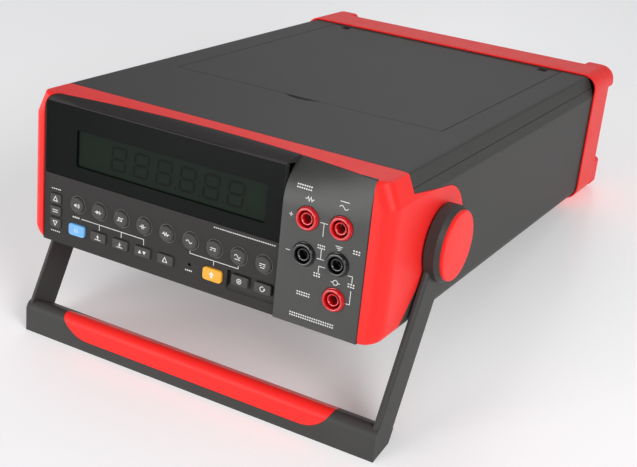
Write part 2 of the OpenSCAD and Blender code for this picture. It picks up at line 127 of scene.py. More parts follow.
class Finish:
    # a material under construction
    def __init__(self, name, **fixed):
        self.material = bpy.data.materials.new(name)
        self.material.use_nodes = True
        self.tree = self.material.node_tree
        self.shader = self.tree.nodes["Principled BSDF"]
        for socket, value in fixed.items():
            self.shader.inputs[socket.replace("_", " ")].default_value = value

    def node(self, kind, settings=None, inputs=None, output=0):
        made = self.tree.nodes.new(kind)
        for key, value in (settings or {}).items():
            if key == "stops":
                for index, (at, tone) in enumerate(value):
                    stop = made.color_ramp.elements[index] if index < 2 else made.color_ramp.elements.new(at)
                    stop.position = at
                    stop.color = (tone, tone, tone, 1)
            else:
                setattr(made, key, value)
        for key, value in (inputs or {}).items():
            if isinstance(value, Wire):
                self.tree.links.new(value.socket, made.inputs[key])
            else:
                made.inputs[key].default_value = value
        return Wire(self, made.outputs[output])

    def where(self):
        return self.node("ShaderNodeTexCoord", output="Object")

    def noise(self, scale, detail=2.0, roughness=0.5):
        return self.node("ShaderNodeTexNoise", None,
                         {"Vector": self.where(), "Scale": scale, "Detail": detail, "Roughness": roughness})

    def ramp(self, wire, *stops):
        return self.node("ShaderNodeValToRGB", {"stops": stops}, {"Fac": wire})

    def mix(self, mask, first, second):
        return self.node("ShaderNodeMix", {"data_type": "RGBA"}, {0: mask, 6: first, 7: second}, 2)

    def bump(self, height, distance):
        return self.node("ShaderNodeBump", None, {"Height": height, "Distance": distance, "Strength": 1.0})

    def drive(self, **links):
        for socket, wire in links.items():
            self.tree.links.new(wire.socket, self.shader.inputs[socket.replace("_", " ")])
        return self.material


def colour(red, green, blue, gain=1.0):
    # display values from 0 to 255 to the linear colour that a shader takes
    def linear(value):
        share = value / 255
        return gain * (share / 12.92 if share <= 0.04045 else ((share + 0.055) / 1.055) ** 2.4)
    return (linear(red), linear(green), linear(blue), 1)


def toned(tone, gain, lift=0.0):
    return tuple(min(1, value * gain + lift) for value in tone[:3]) + (1,)


def moulded(name, tone, rough=0.5, grain=2600, depth=0.00006, wear=0.12, mottle=0.06, specular=0.45):
    # injection moulded plastic: spark eroded grain, cloudy tone, edges rubbed lighter
    finish = Finish(name, Specular_IOR_Level=specular)
    cloud = finish.noise(18, 4)
    fine = finish.noise(grain, 3, 0.6)
    body = finish.mix(cloud, toned(tone, 1 - 2 * mottle), toned(tone, 1 + 2 * mottle, 0.002))
    edge = finish.ramp(finish.node("ShaderNodeNewGeometry", output="Pointiness"), (0.52, 0), (0.60, 1))
    body = finish.mix(edge * wear, body, toned(tone, 1.35, 0.012))
    shine = cloud * 0.08 + fine * 0.06 + (rough - 0.07)
    return finish.drive(Base_Color=body, Roughness=shine, Normal=finish.bump(fine, depth))


def rubbery(name, tone, rough=0.42):
    # soft over-moulded elastomer: fine satin grain with a slow ripple and faint handling marks
    finish = Finish(name, Specular_IOR_Level=0.26, Sheen_Weight=0.03, Sheen_Roughness=0.4)
    cloud = finish.noise(14, 3)
    fine = finish.noise(3200, 2, 0.55)
    handled = finish.ramp(finish.noise(55, 5, 0.65), (0.45, 0), (0.75, 1))
    return finish.drive(Base_Color=finish.mix(cloud, toned(tone, 0.93), toned(tone, 1.05)),
                        Roughness=handled * 0.10 + fine * 0.05 + (rough - 0.05),
                        Normal=finish.bump(fine, 0.00005))


def glossy(name, tone, rough=0.12, coat=0.5, specular=0.5):
    # polished plastic with hair marks
    finish = Finish(name, Specular_IOR_Level=specular, Coat_Weight=coat, Coat_Roughness=0.06)
    scuff = finish.noise(420, 6, 0.7)
    marks = finish.ramp(scuff, (0.5, 0), (0.8, 1))
    cloud = finish.noise(30, 2)
    return finish.drive(Base_Color=finish.mix(cloud, toned(tone, 0.94), toned(tone, 1.04, 0.001)),
                        Roughness=marks * 0.10 + rough, Normal=finish.bump(scuff, 0.00001))


def metal(name, tone, rough=0.3, brushed=True):
    finish = Finish(name, Metallic=1.0)
    place = finish.where()
    stretch = finish.node("ShaderNodeVectorMath", {"operation": "MULTIPLY"},
                          {0: place, 1: (60, 1200, 1200) if brushed else (500, 500, 500)})
    streak = finish.node("ShaderNodeTexNoise", None, {"Vector": stretch, "Scale": 1.0, "Detail": 3.0})
    dull = finish.noise(40, 4)
    return finish.drive(Base_Color=finish.mix(dull, toned(tone, 0.82), tone),
                        Roughness=streak * 0.18 + (rough - 0.06), Normal=finish.bump(streak, 0.00002))


def printedInk(name, tone):
    finish = Finish(name, Specular_IOR_Level=0.3)
    worn = finish.ramp(finish.noise(900, 3, 0.6), (0.25, 0), (0.45, 1))
    return finish.drive(Base_Color=finish.mix(worn, toned(tone, 0.8), tone), Roughness=worn * 0.1 + 0.5,
                        Normal=finish.bump(worn, 0.00001))


def crystalGlass(name):
    # switched-off liquid crystal: green-black, with a faint reflector grain and cloud
    finish = Finish(name, Specular_IOR_Level=0.06)
    cloud = finish.noise(22, 3)
    grain = finish.noise(4200, 1)
    body = finish.mix(cloud, colour(16, 25, 18), colour(22, 33, 25))
    body = finish.mix(grain * 0.15, body, colour(36, 48, 38))
    return finish.drive(Base_Color=body, Roughness=grain * 0.08 + 0.22, Normal=finish.bump(grain, 0.00001))


def circuitBoard(name):
    finish = Finish(name, Specular_IOR_Level=0.5, Coat_Weight=0.3, Coat_Roughness=0.2)
    place = finish.where()
    tracks = finish.node("ShaderNodeTexBrick", {"offset": 0.37, "squash": 1.0},
                         {"Vector": place, "Scale": 160.0, "Mortar Size": 0.012, "Color1": (0, 0, 0, 1),
                          "Color2": (0, 0, 0, 1), "Mortar": (1, 1, 1, 1)})
    cloud = finish.noise(50, 3)
    body = finish.mix(cloud, colour(9, 66, 38), colour(14, 84, 50))
    return finish.drive(Base_Color=finish.mix(tracks * 0.6, body, colour(40, 120, 70)),
                        Roughness=cloud * 0.1 + 0.3, Normal=finish.bump(tracks, 0.00003))


def fuseGlass(name):
    finish = Finish(name, Specular_IOR_Level=0.6, Coat_Weight=0.6)
    sand = finish.noise(1800, 2)
    return finish.drive(Base_Color=finish.mix(sand, colour(196, 192, 180), colour(228, 224, 214)),
                        Roughness=sand * 0.2 + 0.12, Normal=finish.bump(sand, 0.00002))


finishes = {
    "grey_shell": moulded("texturedGreyShell", colour(60, 60, 58), specular=0.26),
    "red_shell": rubbery("satinRedShell", colour(253, 40, 35)),
    "panel_grey": moulded("satinPanelGrey", colour(43, 40, 39), 0.46, 3400, 0.00003, specular=0.2),
    "terminal_grey": moulded("satinTerminalGrey", colour(53, 53, 51), 0.36, 3400, 0.00003, specular=0.42),
    "window_black": glossy("polishedWindowBlack", colour(11, 14, 12), 0.22, 0.0, 0.06),
    "display_glass": crystalGlass("darkCrystalGlass"),
    "red_socket": glossy("glossRedSocket", colour(205, 18, 26), 0.16, 0.5),
    "black_socket": glossy("glossBlackSocket", colour(22, 22, 22), 0.18, 0.5),
    "sleeve_metal": metal("nickelSleeve", colour(198, 190, 170), 0.25, False),
    "key_grey": moulded("satinKeyGrey", colour(64, 62, 60), 0.5, 4200, 0.00003, specular=0.3),
    "key_blue": moulded("translucentKeyBlue", colour(112, 176, 236), 0.36, 4200, 0.00002, 0.3),
    "key_orange": moulded("translucentKeyOrange", colour(244, 172, 44), 0.36, 4200, 0.00002, 0.3),
    "mat_rubber": rubbery("siliconeMat", colour(148, 148, 152), 0.6),
    "foot_rubber": rubbery("blackFootRubber", colour(34, 34, 35), 0.62),
    "board": circuitBoard("greenSolderMask"),
    "steel": metal("platedSteel", colour(196, 194, 188), 0.34),
    "fuse_glass": fuseGlass("sandFilledFuse"),
    "shunt_wire": metal("bareShuntWire", colour(190, 120, 72), 0.36, False),
    "tray_plastic": moulded("matteBlackPlastic", colour(38, 38, 39), 0.6, 2400, 0.00006),
    "rocker_red": glossy("glossRockerRed", colour(150, 16, 16), 0.2, 0.4)}
whiteInk = printedInk("whiteInk", colour(226, 226, 222))
# this light grey ink paints the highlight rings round the round keys
greyInk = printedInk("greyInk", colour(150, 148, 144))
print("materials made,", len(bpy.data.materials))


# ---- mesh tools ----

sides = {"front": Matrix(((1, 0, 0), (0, 0, -1), (0, 1, 0))),      # outline in X and Z, depth along Y
         "top": Matrix(((1, 0, 0), (0, 1, 0), (0, 0, 1))),         # outline in X and Y, depth along Z
         "side": Matrix(((0, 0, 1), (1, 0, 0), (0, 1, 0)))}        # outline in Y and Z, depth along X


def arc(u, v, radius, start, end, steps=8):
    turns = [math.radians(start + (end - start) * i / steps) for i in range(steps + 1)]
    return [(u + radius * math.cos(t), v + radius * math.sin(t)) for t in turns]


def disc(u, v, radius, steps=40):
    return arc(u, v, radius, 0, 360, steps)[:-1]


def roundRect(left, low, right, high, radius, steps=6):
    # radius is one number, or four from the lower left corner and on round, anticlockwise
    a, b, c, d = radius if isinstance(radius, tuple) else (radius,) * 4
    return (arc(left + a, low + a, a, 180, 270, steps) + arc(right - b, low + b, b, 270, 360, steps)
            + arc(right - c, high - c, c, 0, 90, steps) + arc(left + d, high - d, d, 90, 180, steps))


def camel(text, ending=""):
    words = text.split("_")
    return words[0] + "".join(word.capitalize() for word in words[1:]) + ending


def newObject(name, mesh):
    made = bpy.data.objects.new(name, mesh)
    bpy.context.scene.collection.objects.link(made)
    return made


def settled(holder):
    # the mesh of an object with its modifiers and curve settings worked out; the object goes
    graph = bpy.context.evaluated_depsgraph_get()
    mesh = bpy.data.meshes.new_from_object(holder.evaluated_get(graph))
    name = holder.name
    old = holder.data
    bpy.data.objects.remove(holder)
    (bpy.data.curves if isinstance(old, bpy.types.Curve) else bpy.data.meshes).remove(old)
    mesh.name = name
    return newObject(name, mesh)


def plate(name, side, near, far, edge, outer, *holes):
    # a flat piece with holes, every rim rounded by edge
    drawing = bpy.data.curves.new(name, "CURVE")
    drawing.dimensions = "2D"
    drawing.fill_mode = "BOTH"
    drawing.extrude = ((far - near) / 2 - edge) * mm
    drawing.bevel_depth = edge * mm
    drawing.bevel_resolution = 2
    drawing.offset = -edge * mm
    for outline in (outer,) + holes:
        line = drawing.splines.new("POLY")
        line.points.add(len(outline) - 1)
        for point, (u, v) in zip(line.points, outline):
            point.co = (u * mm, v * mm, 0, 1)
        line.use_cyclic_u = True
    made = settled(newObject(name, drawing))
    depth = (near + far) / 2 * mm
    shift = {"front": (0, depth, 0), "top": (0, 0, depth), "side": (depth, 0, 0)}[side]
    made.data.transform(Matrix.Translation(shift) @ sides[side].to_4x4())
    return welded(made)


def welded(made, distance=0.00001):
    shape = bmesh.new()
    shape.from_mesh(made.data)
    bmesh.ops.remove_doubles(shape, verts=shape.verts, dist=distance)
    bmesh.ops.recalc_face_normals(shape, faces=shape.faces)
    shape.to_mesh(made.data)
    shape.free()
    return made


def prism(name, side, near, far, outline):
    # a plain extrusion, to be cut and then rounded
    shape = bmesh.new()
    ends = [[shape.verts.new(sides[side] @ Vector((u, v, 0))) for u, v in outline] for _ in (0, 1)]
    way = {"front": Vector((0, 1, 0)), "top": Vector((0, 0, 1)), "side": Vector((1, 0, 0))}[side]
    for ring, depth in zip(ends, (near, far)):
        for vert in ring:
            vert.co += way * depth
    count = len(outline)
    for i in range(count):
        shape.faces.new((ends[0][i], ends[0][(i + 1) % count], ends[1][(i + 1) % count], ends[1][i]))
    shape.faces.new(ends[0])
    shape.faces.new(ends[1])
    return fromShape(name, shape)


def block(name, side, near, far, left, low, right, high):
    return prism(name, side, near, far, [(left, low), (right, low), (right, high), (left, high)])


def pair(name, near, far, outline):
    # the same extrusion along X on both sides
    return [prism(name, "side", *sorted((sign * near, sign * far)), outline) for sign in (-1, 1)]


def fromShape(name, shape):
    bmesh.ops.recalc_face_normals(shape, faces=shape.faces)
    bmesh.ops.scale(shape, vec=(mm, mm, mm), verts=shape.verts)
    mesh = bpy.data.meshes.new(name)
    shape.to_mesh(mesh)
    shape.free()
    return newObject(name, mesh)


def loft(name, rings, closed=True, caps=True):
    # quads between rings that have the same number of points
    shape = bmesh.new()
    rows = [[shape.verts.new(point) for point in ring] for ring in rings]
    for near, far in zip(rows, rows[1:]):
        count = len(near)
        for i in range(count if closed else count - 1):
            j = (i + 1) % count
            shape.faces.new((near[i], near[j], far[j], far[i]))
    if caps:
        shape.faces.new(rows[0])
        shape.faces.new(rows[-1])
    return fromShape(name, shape)


def lathe(name, way, centre, profile, steps=48):
    # profile is (radius, distance along way); a radius of 0 closes the end
    turn = Vector(way).normalized().to_track_quat("Z", "Y").to_matrix()
    shape = bmesh.new()
    rows = []
    for radius, along in profile:
        points = [(radius * math.cos(t), radius * math.sin(t), along)
                  for t in (2 * math.pi * i / steps for i in range(steps))] if radius else [(0, 0, along)]
        rows.append([shape.verts.new(Vector(centre) + turn @ Vector(p)) for p in points])
    for near, far in zip(rows, rows[1:]):
        for i in range(steps):
            j = (i + 1) % steps
            ring = [near[i % len(near)], near[j % len(near)], far[j % len(far)], far[i % len(far)]]
            shape.faces.new(list(dict.fromkeys(ring)))
    return fromShape(name, shape)


def cut(made, *tools, way="DIFFERENCE"):
    for tool in tools:
        step = made.modifiers.new("cut", "BOOLEAN")
        step.operation = way
        step.solver = "EXACT"
        step.object = tool
        made = settled(made)
        old = tool.data
        bpy.data.objects.remove(tool)
        bpy.data.meshes.remove(old)
    return welded(made, 0.000001)


def joined(name, *parts):
    shape = bmesh.new()
    for part in parts:
        shape.from_mesh(part.data)
        old = part.data
        bpy.data.objects.remove(part)
        bpy.data.meshes.remove(old)
    mesh = bpy.data.meshes.new(name)
    shape.to_mesh(mesh)
    shape.free()
    return newObject(name, mesh)


def mirrored(made):
    # the same mesh on both sides of the instrument
    shape = bmesh.new()
    shape.from_mesh(made.data)
    twin = bmesh.ops.duplicate(shape, geom=shape.verts[:] + shape.edges[:] + shape.faces[:])["geom"]
    for item in twin:
        if isinstance(item, bmesh.types.BMVert):
            item.co.x *= -1
    bmesh.ops.reverse_faces(shape, faces=[item for item in twin if isinstance(item, bmesh.types.BMFace)])
    shape.to_mesh(made.data)
    shape.free()
    return made


def softened(made, width, segments=3, angle=32):
    soft = made.modifiers.new("edges", "BEVEL")
    soft.width = width * mm
    soft.segments = segments
    soft.limit_method = "ANGLE"
    soft.angle_limit = math.radians(angle)
    soft.use_clamp_overlap = True
    return made


def fromNode(name, node, width):
    # a CAD node with its flat faces merged and its edges rounded
    copy = frame["nodes"][node].data.copy()
    copy.name = name
    shape = bmesh.new()
    shape.from_mesh(copy)
    bmesh.ops.remove_doubles(shape, verts=shape.verts, dist=0.000002)
    bmesh.ops.dissolve_limit(shape, angle_limit=math.radians(1.5), verts=shape.verts, edges=shape.edges)
    shape.to_mesh(copy)
    shape.free()
    made = newObject(name, copy)
    return softened(made, width, 2) if width else made


def keep(made, body, slot, *nodes, place=None, ink=None, smooth=35):
    # finish, shading, body and the CAD nodes that the piece stands for
    mesh = made.data
    mesh.materials.clear()
    mesh.materials.append(ink or finishes[slot])
    mesh.polygons.foreach_set("use_smooth", [True] * len(mesh.polygons))
    mesh.set_sharp_from_angle(angle=math.radians(smooth))
    weight = made.modifiers.new("shading", "WEIGHTED_NORMAL")
    weight.keep_sharp = True
    weight.weight = 100
    made.matrix_world = stance if place is None else place
    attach(made, body)
    if nodes:
        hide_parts(*nodes)
    return made


def strokes(name, side, depth, width, lines, fills=(), thick=0.05):
    # flat printed marks: mitred lines and filled outlines
    shape = bmesh.new()

    def put(outline):
        shape.faces.new([shape.verts.new(sides[side] @ Vector((u, v, 0)) + Vector((0, depth, 0)))
                         for u, v in outline])

    for line in lines:
        ends = [Vector(p) for p in line]
        rimHighlights = []
        for i, point in enumerate(ends):
            before = (point - ends[i - 1]).normalized() if i else (ends[1] - point).normalized()
            after = (ends[i + 1] - point).normalized() if i + 1 < len(ends) else before
            middle = (before + after).normalized()
            across = Vector((-middle.y, middle.x))
            reach = width / 2 / max(0.4, across.dot(Vector((-before.y, before.x))))
            rimHighlights.append((point + across * reach, point - across * reach))
        for (a, b), (c, d) in zip(rimHighlights, rimHighlights[1:]):
            put([a, b, d, c])
    for outline in fills:
        put(outline)
    faces = bmesh.ops.extrude_face_region(shape, geom=shape.faces[:])["geom"]
    for item in faces:
        if isinstance(item, bmesh.types.BMVert):
            item.co.y -= thick
    return fromShape(name, shape)


def swept(made, amount, heights, widths, spare=0.0):
    # leans the upper part of a front piece back by amount(x, z); its back gives way once spare is used up
    shape = bmesh.new()
    shape.from_mesh(made.data)
    for axis, levels in ((2, heights), (0, widths)):
        for level in levels:
            flat = Vector((0, 0, 0))
            flat[axis] = 1
            geom = shape.verts[:] + shape.edges[:] + shape.faces[:]
            bmesh.ops.bisect_plane(shape, geom=geom, dist=1e-7, plane_co=flat * level * mm, plane_no=flat)
    middle = (min(v.co.y for v in shape.verts) + max(v.co.y for v in shape.verts)) / 2
    for vert in shape.verts:
        shift = amount(vert.co.x / mm, vert.co.z / mm)
        vert.co.y += (shift if vert.co.y < middle else max(0, shift - spare)) * mm
    shape.to_mesh(made.data)
    shape.free()
    return made


# ---- covers ----

coverShape = {"edge": 0.4, "gap": 0.25, "parting": 0.15, "slitRadius": 20, "slitBack": 16}


def caseLine(grow=0.0):
    # the case's section: round below, its upper edges planed off steeply
    half, high, radius, bend = (case[k] for k in ("halfWidth", "height", "edgeRadius", "slopeBend"))
    top, foot = Vector(case["slopeTop"]), Vector(case["slopeFoot"])
    out = Vector((top.y - foot.y, foot.x - top.x)).normalized()
    slant = math.degrees(math.atan2(out.y, out.x))
    reach = (top - Vector((half - radius, high - radius))).dot(out)
    turn = math.degrees(math.acos((reach + grow) / (radius + grow)))
    right = arc(half - radius, radius, radius + grow, 270, 360, 8)
    right += arc(half - bend, foot.y - bend * math.tan(math.radians(slant / 2)), bend + grow, 0, slant, 4)
    right += arc(half - radius, high - radius, radius + grow, slant + turn, 90, 3)
    return right + [(-x, z) for x, z in right[::-1]]


def caseShell(name, low, high):
    # the tube behind the bezel, between two heights
    near, far = case["bezelBack"] + 0.15, case["rear"] - 13
    shell = prism(name, "front", near, far, caseLine())
    part = block("part", "front", near - 5, far + 5, -130, low, 130, high)
    shell = cut(shell, prism("inside", "front", near - 1, far + 1, caseLine(-case["wall"])))
    return cut(shell, part, way="INTERSECT")


def topCover():
    cover = caseShell("topCover", case["split"] + coverShape["parting"] / 2, 100)
    gap = coverShape["gap"]
    half = case["lidHalf"] + gap
    lid = block("lidHole", "top", 82, 90, -half, case["lidFront"] - gap, half, case["hinge"][0] + 4.4)
    slit = prism("slitHole", "top", 82, 90,
                 disc(0, case["lidFront"] + coverShape["slitBack"], coverShape["slitRadius"], 96))
    cover = cut(cover, lid, slit)
    keep(softened(cover, coverShape["edge"], 2), "case", "grey_shell", "top_cover")


wing = {"radius": 29.7, "foot": 15.5, "top": 77.3, "depth": 1.0, "start": 18}


def wingOutline(grow=0.0):
    # a tongue behind the bezel with a round end about the pivot, notched under the handle's arm
    y, z = case["pivot"]
    radius = wing["radius"] + grow
    slope = math.degrees(math.atan2(wing["top"] - z - radius, y - case["bezelBack"] + 2))
    under = (z - 9) / (y - 9 - wing["foot"])
    line = [(wing["start"], wing["top"] + grow)] + arc(y, z, radius, 90 - slope, -56, 32)
    line += [(y, z - 9 - grow), (y - 9 + grow, z - 9 - grow)]
    line += [(wing["start"], (wing["start"] - wing["foot"]) * under - grow)]
    return line


def bottomCover():
    cover = caseShell("bottomCover", -20, case["split"] - coverShape["parting"] / 2)
    tools = [cut(recess, prism("recessFloor", "front", 0, 130, caseLine(-1.02)))
             for recess in pair("wingRecess", 100, 120, wingOutline(0.15))]
    for i in range(9):
        y = 180 + i * 8
        tools += [prism("ventGroove", "top", -1, 0.9, roundRect(x, y, x + 62, y + 3.4, 1.6, 4))
                  for x in (-76, 14)]
    cover = cut(cover, *tools)
    keep(softened(cover, coverShape["edge"], 2), "case", "grey_shell", "bottom_cover")


def storageLid():
    half, front, (hingeY, hingeZ) = case["lidHalf"], case["lidFront"], case["hinge"]
    back = hingeY + 2.4
    outline = [(-half, front), (half, front), (half, back)]
    for x in (75, -78):
        outline += [(x + 4.5, back), (x + 4.5, hingeY - 5), (x - 1.5, hingeY - 5), (x - 1.5, back)]
    outline += [(-half, back)]
    lid = plate("storageLid", "top", case["height"] - 2.2, case["height"], 0.45, outline)
    knuckles = [lathe("knuckle", (1, 0, 0), (x - 12, hingeY, hingeZ),
                      [(1.6, 0), (2.5, 0), (2.8, 0.3), (2.8, 23.7), (2.5, 24), (1.6, 24), (1.6, 0)], 32)
                for x in (-60, 60)]
    keep(welded(joined("storageLid", lid, *knuckles)), "lid", "grey_shell", "storage_lid")


# ---- front bezel ----

bezel = {"planRadius": 8, "topRadius": 4.2, "baseRadius": 2.5, "left": -103.4, "right": 100.1, "corner": 9,
         "edge": 0.5, "browRadius": 505, "browBack": 12.2, "browFrom": 83.4}


def rolled(radius, depth):
    # how far a rounded front edge is in from the side at a depth behind the front
    return radius - math.sqrt(max(0, radius ** 2 - (radius - min(depth, radius)) ** 2))


def browEdge(x):
    # the panels' top edge runs back in a shallow arc
    radius = bezel["browRadius"]
    return bezel["browBack"] - radius + math.sqrt(radius ** 2 - x ** 2)


def slotLine(grow=0.0):
    left, right, high = bezel["left"] - grow, bezel["right"] + grow, case["height"] + grow
    return roundRect(left, -9, right, high + 0.01, (1, 1, 0.4, bezel["corner"]), 10)


def frontBezel():
    half, high = case["halfWidth"], case["height"]
    depths = [0, 0.12, 0.4, 0.8, 1.4, 2.2, 3.2, 4.4, 6, 8, case["bezelBack"] - 0.15]
    rings = []
    for depth in depths:
        side = rolled(bezel["planRadius"], depth)
        top = rolled(bezel["topRadius"], depth)
        base = rolled(bezel["baseRadius"], depth)
        rings.append([Vector((x - math.copysign(side, x), depth, base + z * (high - base - top) / high))
                      for x, z in caseLine()])
    frontPiece = loft("frontBezel", rings)
    wings = joined("sideWings", *pair("sideWing", half - 4.6, half + 5, wingOutline()))
    wings = cut(wings, prism("caseLine", "front", 10, 120, caseLine()), way="INTERSECT")
    frontPiece = cut(frontPiece, wings, way="UNION")
    hollow = prism("bezelHollow", "front", case["panelBack"], 120,
                   roundRect(-half + 4.5, 3.2, half - 4.5, high - 3.2, 5))
    trim = prism("wingTrim", "front", case["bezelBack"] - 0.15, 130, caseLine(-wing["depth"]))
    slot = prism("panelSlot", "front", -5, case["panelBack"], slotLine())
    pocket = prism("browPocket", "front", -6, 20, slotLine())
    edge = [(x, browEdge(x)) for x in [105 - 7 * i for i in range(31)]]
    pocket = cut(pocket, prism("browArc", "top", 82.9, 95, [(-105, -8), (105, -8)] + edge), way="INTERSECT")
    frontPiece = cut(frontPiece, hollow, slot, pocket, trim)
    keep(softened(frontPiece, bezel["edge"], 3), "case", "red_shell", "front_bezel")


# ---- front panel ----

window = {"box": (-102.3, 40.5, 50.6, 82), "glass": (-81, 48.4, 41, 69.2), "glassDepth": 2.6}
keys = {"firstColumn": -78.8, "pitch": 15.2, "row": 26.6, "radius": 4.7, "gap": 0.25,
        "pit": (21, 6.2, 50, 17.4), "stripX": -94.3}
squareKeys = {
    "key_range_up": (-94.3, 26.4, 7.6, 5.8, 1.0, 0.1, "key_grey"),
    "key_auto_range": (-94.3, 19.2, 7.6, 5.8, 1.0, 0.1, "key_grey"),
    "key_range_down": (-94.3, 12.0, 7.6, 5.8, 1.0, 0.1, "key_grey"),
    "key_hold": (-78.8, 11.6, 11.0, 6.8, 1.6, -0.4, "key_blue"),
    "key_recall": (-63.6, 11.6, 10.4, 5.8, 1.0, -0.2, "key_grey"),
    "key_store": (-48.4, 11.6, 10.4, 5.8, 1.0, -0.2, "key_grey"),
    "key_max_min": (-33.2, 11.6, 10.4, 5.8, 1.0, -0.2, "key_grey"),
    "key_relative": (-18.0, 11.6, 10.4, 5.8, 1.0, -0.2, "key_grey"),
    "key_shift": (12.4, 11.8, 11.8, 7.2, 1.8, -0.4, "key_orange"),
    "key_set": (28.6, 12.6, 10.4, 6.0, 1.0, 1.2, "key_grey"),
    "key_reset": (42.8, 12.6, 10.4, 6.0, 1.0, 1.2, "key_grey")}


def keyOutline(values, grow=0.0):
    x, z, width, height, radius = values[:5]
    return roundRect(x - width / 2 - grow, z - height / 2 - grow, x + width / 2 + grow,
                     z + height / 2 + grow, radius + grow, 5)


def panelBrow():
    # the slope from the face up and back to the arc, its left end following the slot's round corner
    low, high, corner = bezel["browFrom"], case["height"] - 0.05, bezel["corner"] - 0.1
    left = bezel["left"] + 0.1
    columns = [left + corner - math.sqrt(corner ** 2 - (low + 0.1 + 0.45 * i - case["height"] + 9) ** 2)
               for i in range(6)]
    columns += [left + corner + (51 - left - corner) * i / 24 for i in range(25)]
    rings = []
    for x in columns:
        drop = max(0, left + corner - x)
        top = min(high, case["height"] - 9 + math.sqrt(corner ** 2 - drop ** 2))
        share = (top - low) / (high - low)
        back = case["panelFace"] + (browEdge(x) - 0.1 - case["panelFace"]) * share
        skew = 3.2 * max(0, (x - 44) / 7) ** 2
        slopeLine = [Vector((x + skew * t, case["panelFace"] + (back - case["panelFace"]) * t,
                             low + (top - low) * (1 - (1 - t) ** 1.5))) for t in (i / 8 for i in range(9))]
        foot = [Vector((x + skew, back, low - 0.6)), Vector((x, case["panelFace"], low - 0.6))]
        rings.append(slopeLine + foot)
    return loft("panelBrow", rings)


def frontPanel():
    face, back, low = case["panelFace"], case["panelBack"], bezel["browFrom"]
    left, corner = bezel["left"] + 0.1, bezel["corner"] - 0.1
    rise = math.degrees(math.asin((low - case["height"] + 9) / corner))
    outline = [(left, 0.3), (50.8, 0.3), (50.8, low)]
    outline += arc(left + corner, case["height"] - 9, corner, 180 - rise, 180, 8)
    holes = [roundRect(*window["box"], 0.6, 3)]
    holes += [disc(keys["firstColumn"] + i * keys["pitch"], keys["row"], keys["radius"] + keys["gap"])
              for i in range(9)]
    holes += [keyOutline(values, keys["gap"]) for name, values in squareKeys.items()
              if name not in ("key_set", "key_reset")]
    holes += [roundRect(*keys["pit"], 0.8, 4), disc(keys["firstColumn"] + 5 * keys["pitch"], 13, 0.9, 20)]
    panel = plate("frontPanel", "front", face, back, 0.08, outline, *holes)
    left, low, right, top = keys["pit"]
    ramp = [(face + 0.02, low - 0.2), (face + 2.3, low + 3.2), (face + 2.3, top + 0.3),
            (back - 0.1, top + 0.3), (back - 0.1, low - 0.2)]
    pit = prism("keyPit", "side", left - 0.2, right + 0.2, ramp)
    backing = plate("panelBacking", "front", back + 0.3, back + 0.9, 0.1, roundRect(-99, 1, 50.4, 36, 1))
    keep(joined("frontPanel", panel, panelBrow(), pit), "case", "panel_grey", "front_panel")
    keep(backing, "case", "tray_plastic")


def displayWindow():
    left, low, right, top = window["box"]
    face = case["panelFace"]
    mask = plate("displayWindow", "front", face + 0.25, face + 1.5, 0.1,
                 roundRect(left + 0.15, low + 0.15, right - 0.15, top - 0.15, 0.5, 3),
                 roundRect(*window["glass"], 1.2, 4))
    keep(mask, "case", "window_black", "display_window")


digitShape = {"width": 10.4, "height": 14.5, "slant": 0.09, "bar": 1.5, "gap": 0.5, "count": 6}


def digitSegments(x, z):
    # the seven bars of one figure, as outlines
    w, h, bar, gap = (digitShape[k] for k in ("width", "height", "bar", "gap"))
    half = h / 2

    def slanted(points):
        return [(x + u + v * digitShape["slant"], z + v) for u, v in points]

    def flat(v):
        return [(gap + bar, v - bar / 2), (w - gap - bar, v - bar / 2), (w - gap - bar / 2, v),
                (w - gap - bar, v + bar / 2), (gap + bar, v + bar / 2), (gap + bar / 2, v)]

    def upright(u, low):
        tip, top = gap + bar / 2, low + half
        return [(u, low + gap), (u + bar / 2, low + tip), (u + bar / 2, top - tip), (u, top - gap),
                (u - bar / 2, top - tip), (u - bar / 2, low + tip)]

    level = [flat(bar / 2), flat(half), flat(h - bar / 2)]
    posts = [upright(u, low) for u in (bar / 2, w - bar / 2) for low in (0, half)]
    return [slanted(points) for points in level + posts]


def crystalDisplay():
    left, low, right, top = window["glass"]
    depth = window["glassDepth"]
    outline = roundRect(left - 2, low - 2, right + 2, top + 2, 1)
    glass = plate("crystalGlass", "front", depth, depth + 2, 0.2, outline)
    keep(glass, "case", "display_glass", "lcd_module")
    fills = []
    for i in range(digitShape["count"]):
        fills += digitSegments(left + 22 + i * 15, low + 3.2)
        fills.append(disc(left + 35.5 + i * 15, low + 4, 0.7, 12))
    ghost = strokes("ghostDigits", "front", depth, 0.5, [], fills, 0.04)
    keep(ghost, "case", "display_glass", ink=finishes["window_black"])


# ---- terminal panel and sockets ----

terminal = {"left": 51.15, "right": 99.9, "face": -0.6, "leanFrom": 62, "cornerWide": 4.2, "cornerTall": 16,
            "socketX": (66, 85.05), "socketZ": (20.4, 39.45, 58.5), "hole": 6.35}
sockets = {"socket_sense_high": (0, 2, "red_socket"), "socket_sense_low": (0, 1, "black_socket"),
           "socket_input_high": (1, 2, "red_socket"), "socket_common": (1, 1, "black_socket"),
           "socket_current": (1, 0, "red_socket")}


def terminalLean(x, z):
    # level up to a height, then back to the brow's arc
    share = max(0, z - terminal["leanFrom"]) / (case["height"] - terminal["leanFrom"])
    return (browEdge(x) - 0.1 - terminal["face"]) * share ** 1.9


def socketPlace(i, j):
    return terminal["socketX"][i], terminal["socketZ"][j]


